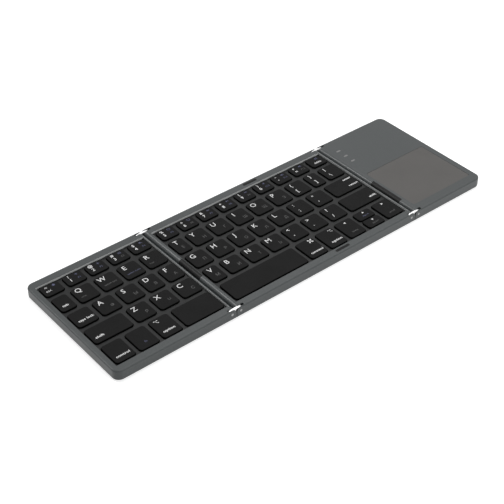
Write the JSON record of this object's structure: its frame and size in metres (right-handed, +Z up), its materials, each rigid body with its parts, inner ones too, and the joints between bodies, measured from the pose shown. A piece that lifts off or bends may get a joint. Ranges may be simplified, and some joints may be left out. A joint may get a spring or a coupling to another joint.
{
  "type": "folding keyboard",
  "caption": "Slim three-leaf folding keyboard shown open: two leaves of low keys, a narrow leaf with a touch panel, and two double-pivot hinges that fold the outer leaves over the middle one.",
  "frame": {"origin": "middle of the open keyboard's bounding box, on the surface that its feet stand on", "axes": "+X along the row of leaves towards the touch panel, +Y from the front edge to the number row's edge, +Z up out of the keys"},
  "size_m": [0.3046, 0.0996, 0.0082],
  "materials": {
    "shell": "matt dark grey, fine soft-touch grain; lighter grey deck between the keys",
    "cover": "matt dark grey",
    "key_caps": "matt black with printed light legends",
    "touch_surface": "smooth matt dark grey",
    "hinge_metal": "bright satin metal",
    "flexible_cable": "satin black film",
    "rubber_parts": "matt black",
    "steel_plate": "plain rolled sheet",
    "switch_sheet": "translucent grey rubber and film",
    "circuit_board": "green solder mask",
    "battery_pouch": "silver laminate pouch",
    "port_shell": "bright plated sheet",
    "indicator_windows": "pale diffusing windows",
    "screw_steel": "blackened steel"
  },
  "bodies": {
    "middle_leaf": {"middle_frame": "shell", "middle_bottom_cover": "cover", "middle_key_plate": "steel_plate", "middle_switch_sheet": "switch_sheet", "rim_bumpers": "rubber_parts", "left_flex_cable": "flexible_cable", "middle_feet": "rubber_parts", "middle_screws": "screw_steel"},
    "left_link": {"left_hinge_links": "hinge_metal", "left_hinge_pins": "hinge_metal"},
    "left_leaf": {"left_frame": "shell", "left_bottom_cover": "cover", "left_key_plate": "steel_plate", "left_switch_sheet": "switch_sheet", "left_feet": "rubber_parts", "left_screws": "screw_steel"},
    "right_link": {"right_hinge_links": "hinge_metal", "right_hinge_pins": "hinge_metal"},
    "right_leaf": {"right_frame": "shell", "right_bottom_cover": "cover", "touch_panel": "touch_surface", "main_board": "circuit_board", "battery": "battery_pouch", "charging_port": "port_shell", "indicator_windows": "indicator_windows", "right_flex_cable": "flexible_cable", "right_feet": "rubber_parts", "right_screws": "screw_steel"},
    "key_q_cap": {"key_q": "key_caps"},
    "key_w_cap": {"key_w": "key_caps"},
    "key_e_cap": {"key_e": "key_caps"},
    "key_r_cap": {"key_r": "key_caps"},
    "key_a_cap": {"key_a": "key_caps"},
    "key_s_cap": {"key_s": "key_caps"},
    "key_d_cap": {"key_d": "key_caps"},
    "key_f_cap": {"key_f": "key_caps"},
    "key_z_cap": {"key_z": "key_caps"},
    "key_x_cap": {"key_x": "key_caps"},
    "key_c_cap": {"key_c": "key_caps"},
    "key_left_space_cap": {"key_left_space": "key_caps"},
    "keys_left_number_row_caps": {"keys_left_number_row": "key_caps"},
    "keys_left_side_caps": {"keys_left_side": "key_caps"},
    "key_t_cap": {"key_t": "key_caps"},
    "key_y_cap": {"key_y": "key_caps"},
    "key_u_cap": {"key_u": "key_caps"},
    "key_i_cap": {"key_i": "key_caps"},
    "key_o_cap": {"key_o": "key_caps"},
    "key_p_cap": {"key_p": "key_caps"},
    "key_g_cap": {"key_g": "key_caps"},
    "key_h_cap": {"key_h": "key_caps"},
    "key_j_cap": {"key_j": "key_caps"},
    "key_k_cap": {"key_k": "key_caps"},
    "key_l_cap": {"key_l": "key_caps"},
    "key_v_cap": {"key_v": "key_caps"},
    "key_b_cap": {"key_b": "key_caps"},
    "key_n_cap": {"key_n": "key_caps"},
    "key_m_cap": {"key_m": "key_caps"},
    "key_right_space_cap": {"key_right_space": "key_caps"},
    "keys_middle_number_row_caps": {"keys_middle_number_row": "key_caps"},
    "keys_middle_side_caps": {"keys_middle_side": "key_caps"}
  },
  "joints": [
    {"name": "left_fold", "type": "hinge", "parent": "middle_leaf", "child": "left_link", "pos_m": [-0.0615, 0, 0.0049], "axis": [0, 1, 0], "range_deg": [0, 90]},
    {"name": "left_leaf_fold", "type": "hinge", "parent": "left_link", "child": "left_leaf", "pos_m": [-0.0681, 0, 0.0049], "axis": [0, 1, 0], "range_deg": [0, 90]},
    {"name": "right_fold", "type": "hinge", "parent": "middle_leaf", "child": "right_link", "pos_m": [0.08435, 0, 0.0049], "axis": [0, -1, 0], "range_deg": [0, 90]},
    {"name": "right_leaf_fold", "type": "hinge", "parent": "right_link", "child": "right_leaf", "pos_m": [0.09095, 0, 0.0049], "axis": [0, -1, 0], "range_deg": [0, 90]},
    {"name": "key_q_press", "type": "slide", "parent": "left_leaf", "child": "key_q_cap", "axis": [0, 0, -1], "range_m": [0, 0.0012], "stiffness_N_per_m": 300, "springref_m": -0.0006},
    {"name": "key_w_press", "type": "slide", "parent": "left_leaf", "child": "key_w_cap", "axis": [0, 0, -1], "range_m": [0, 0.0012], "stiffness_N_per_m": 300, "springref_m": -0.0006},
    {"name": "key_e_press", "type": "slide", "parent": "left_leaf", "child": "key_e_cap", "axis": [0, 0, -1], "range_m": [0, 0.0012], "stiffness_N_per_m": 300, "springref_m": -0.0006},
    {"name": "key_r_press", "type": "slide", "parent": "left_leaf", "child": "key_r_cap", "axis": [0, 0, -1], "range_m": [0, 0.0012], "stiffness_N_per_m": 300, "springref_m": -0.0006},
    {"name": "key_a_press", "type": "slide", "parent": "left_leaf", "child": "key_a_cap", "axis": [0, 0, -1], "range_m": [0, 0.0012], "stiffness_N_per_m": 300, "springref_m": -0.0006},
    {"name": "key_s_press", "type": "slide", "parent": "left_leaf", "child": "key_s_cap", "axis": [0, 0, -1], "range_m": [0, 0.0012], "stiffness_N_per_m": 300, "springref_m": -0.0006},
    {"name": "key_d_press", "type": "slide", "parent": "left_leaf", "child": "key_d_cap", "axis": [0, 0, -1], "range_m": [0, 0.0012], "stiffness_N_per_m": 300, "springref_m": -0.0006},
    {"name": "key_f_press", "type": "slide", "parent": "left_leaf", "child": "key_f_cap", "axis": [0, 0, -1], "range_m": [0, 0.0012], "stiffness_N_per_m": 300, "springref_m": -0.0006},
    {"name": "key_z_press", "type": "slide", "parent": "left_leaf", "child": "key_z_cap", "axis": [0, 0, -1], "range_m": [0, 0.0012], "stiffness_N_per_m": 300, "springref_m": -0.0006},
    {"name": "key_x_press", "type": "slide", "parent": "left_leaf", "child": "key_x_cap", "axis": [0, 0, -1], "range_m": [0, 0.0012], "stiffness_N_per_m": 300, "springref_m": -0.0006},
    {"name": "key_c_press", "type": "slide", "parent": "left_leaf", "child": "key_c_cap", "axis": [0, 0, -1], "range_m": [0, 0.0012], "stiffness_N_per_m": 300, "springref_m": -0.0006},
    {"name": "key_left_space_press", "type": "slide", "parent": "left_leaf", "child": "key_left_space_cap", "axis": [0, 0, -1], "range_m": [0, 0.0012], "stiffness_N_per_m": 300, "springref_m": -0.0006},
    {"name": "keys_left_number_row_press", "type": "slide", "parent": "left_leaf", "child": "keys_left_number_row_caps", "axis": [0, 0, -1], "range_m": [0, 0.0012], "stiffness_N_per_m": 1500, "springref_m": -0.0006},
    {"name": "keys_left_side_press", "type": "slide", "parent": "left_leaf", "child": "keys_left_side_caps", "axis": [0, 0, -1], "range_m": [0, 0.0012], "stiffness_N_per_m": 1800, "springref_m": -0.0006},
    {"name": "key_t_press", "type": "slide", "parent": "middle_leaf", "child": "key_t_cap", "axis": [0, 0, -1], "range_m": [0, 0.0012], "stiffness_N_per_m": 300, "springref_m": -0.0006},
    {"name": "key_y_press", "type": "slide", "parent": "middle_leaf", "child": "key_y_cap", "axis": [0, 0, -1], "range_m": [0, 0.0012], "stiffness_N_per_m": 300, "springref_m": -0.0006},
    {"name": "key_u_press", "type": "slide", "parent": "middle_leaf", "child": "key_u_cap", "axis": [0, 0, -1], "range_m": [0, 0.0012], "stiffness_N_per_m": 300, "springref_m": -0.0006},
    {"name": "key_i_press", "type": "slide", "parent": "middle_leaf", "child": "key_i_cap", "axis": [0, 0, -1], "range_m": [0, 0.0012], "stiffness_N_per_m": 300, "springref_m": -0.0006},
    {"name": "key_o_press", "type": "slide", "parent": "middle_leaf", "child": "key_o_cap", "axis": [0, 0, -1], "range_m": [0, 0.0012], "stiffness_N_per_m": 300, "springref_m": -0.0006},
    {"name": "key_p_press", "type": "slide", "parent": "middle_leaf", "child": "key_p_cap", "axis": [0, 0, -1], "range_m": [0, 0.0012], "stiffness_N_per_m": 300, "springref_m": -0.0006},
    {"name": "key_g_press", "type": "slide", "parent": "middle_leaf", "child": "key_g_cap", "axis": [0, 0, -1], "range_m": [0, 0.0012], "stiffness_N_per_m": 300, "springref_m": -0.0006},
    {"name": "key_h_press", "type": "slide", "parent": "middle_leaf", "child": "key_h_cap", "axis": [0, 0, -1], "range_m": [0, 0.0012], "stiffness_N_per_m": 300, "springref_m": -0.0006},
    {"name": "key_j_press", "type": "slide", "parent": "middle_leaf", "child": "key_j_cap", "axis": [0, 0, -1], "range_m": [0, 0.0012], "stiffness_N_per_m": 300, "springref_m": -0.0006},
    {"name": "key_k_press", "type": "slide", "parent": "middle_leaf", "child": "key_k_cap", "axis": [0, 0, -1], "range_m": [0, 0.0012], "stiffness_N_per_m": 300, "springref_m": -0.0006},
    {"name": "key_l_press", "type": "slide", "parent": "middle_leaf", "child": "key_l_cap", "axis": [0, 0, -1], "range_m": [0, 0.0012], "stiffness_N_per_m": 300, "springref_m": -0.0006},
    {"name": "key_v_press", "type": "slide", "parent": "middle_leaf", "child": "key_v_cap", "axis": [0, 0, -1], "range_m": [0, 0.0012], "stiffness_N_per_m": 300, "springref_m": -0.0006},
    {"name": "key_b_press", "type": "slide", "parent": "middle_leaf", "child": "key_b_cap", "axis": [0, 0, -1], "range_m": [0, 0.0012], "stiffness_N_per_m": 300, "springref_m": -0.0006},
    {"name": "key_n_press", "type": "slide", "parent": "middle_leaf", "child": "key_n_cap", "axis": [0, 0, -1], "range_m": [0, 0.0012], "stiffness_N_per_m": 300, "springref_m": -0.0006},
    {"name": "key_m_press", "type": "slide", "parent": "middle_leaf", "child": "key_m_cap", "axis": [0, 0, -1], "range_m": [0, 0.0012], "stiffness_N_per_m": 300, "springref_m": -0.0006},
    {"name": "key_right_space_press", "type": "slide", "parent": "middle_leaf", "child": "key_right_space_cap", "axis": [0, 0, -1], "range_m": [0, 0.0012], "stiffness_N_per_m": 300, "springref_m": -0.0006},
    {"name": "keys_middle_number_row_press", "type": "slide", "parent": "middle_leaf", "child": "keys_middle_number_row_caps", "axis": [0, 0, -1], "range_m": [0, 0.0012], "stiffness_N_per_m": 2700, "springref_m": -0.0006},
    {"name": "keys_middle_side_press", "type": "slide", "parent": "middle_leaf", "child": "keys_middle_side_caps", "axis": [0, 0, -1], "range_m": [0, 0.0012], "stiffness_N_per_m": 4800, "springref_m": -0.0006}
  ],
  "couplings": [
    {"joint": "left_leaf_fold", "follows": "left_fold", "ratio": 1},
    {"joint": "right_leaf_fold", "follows": "right_fold", "ratio": 1}
  ]
}
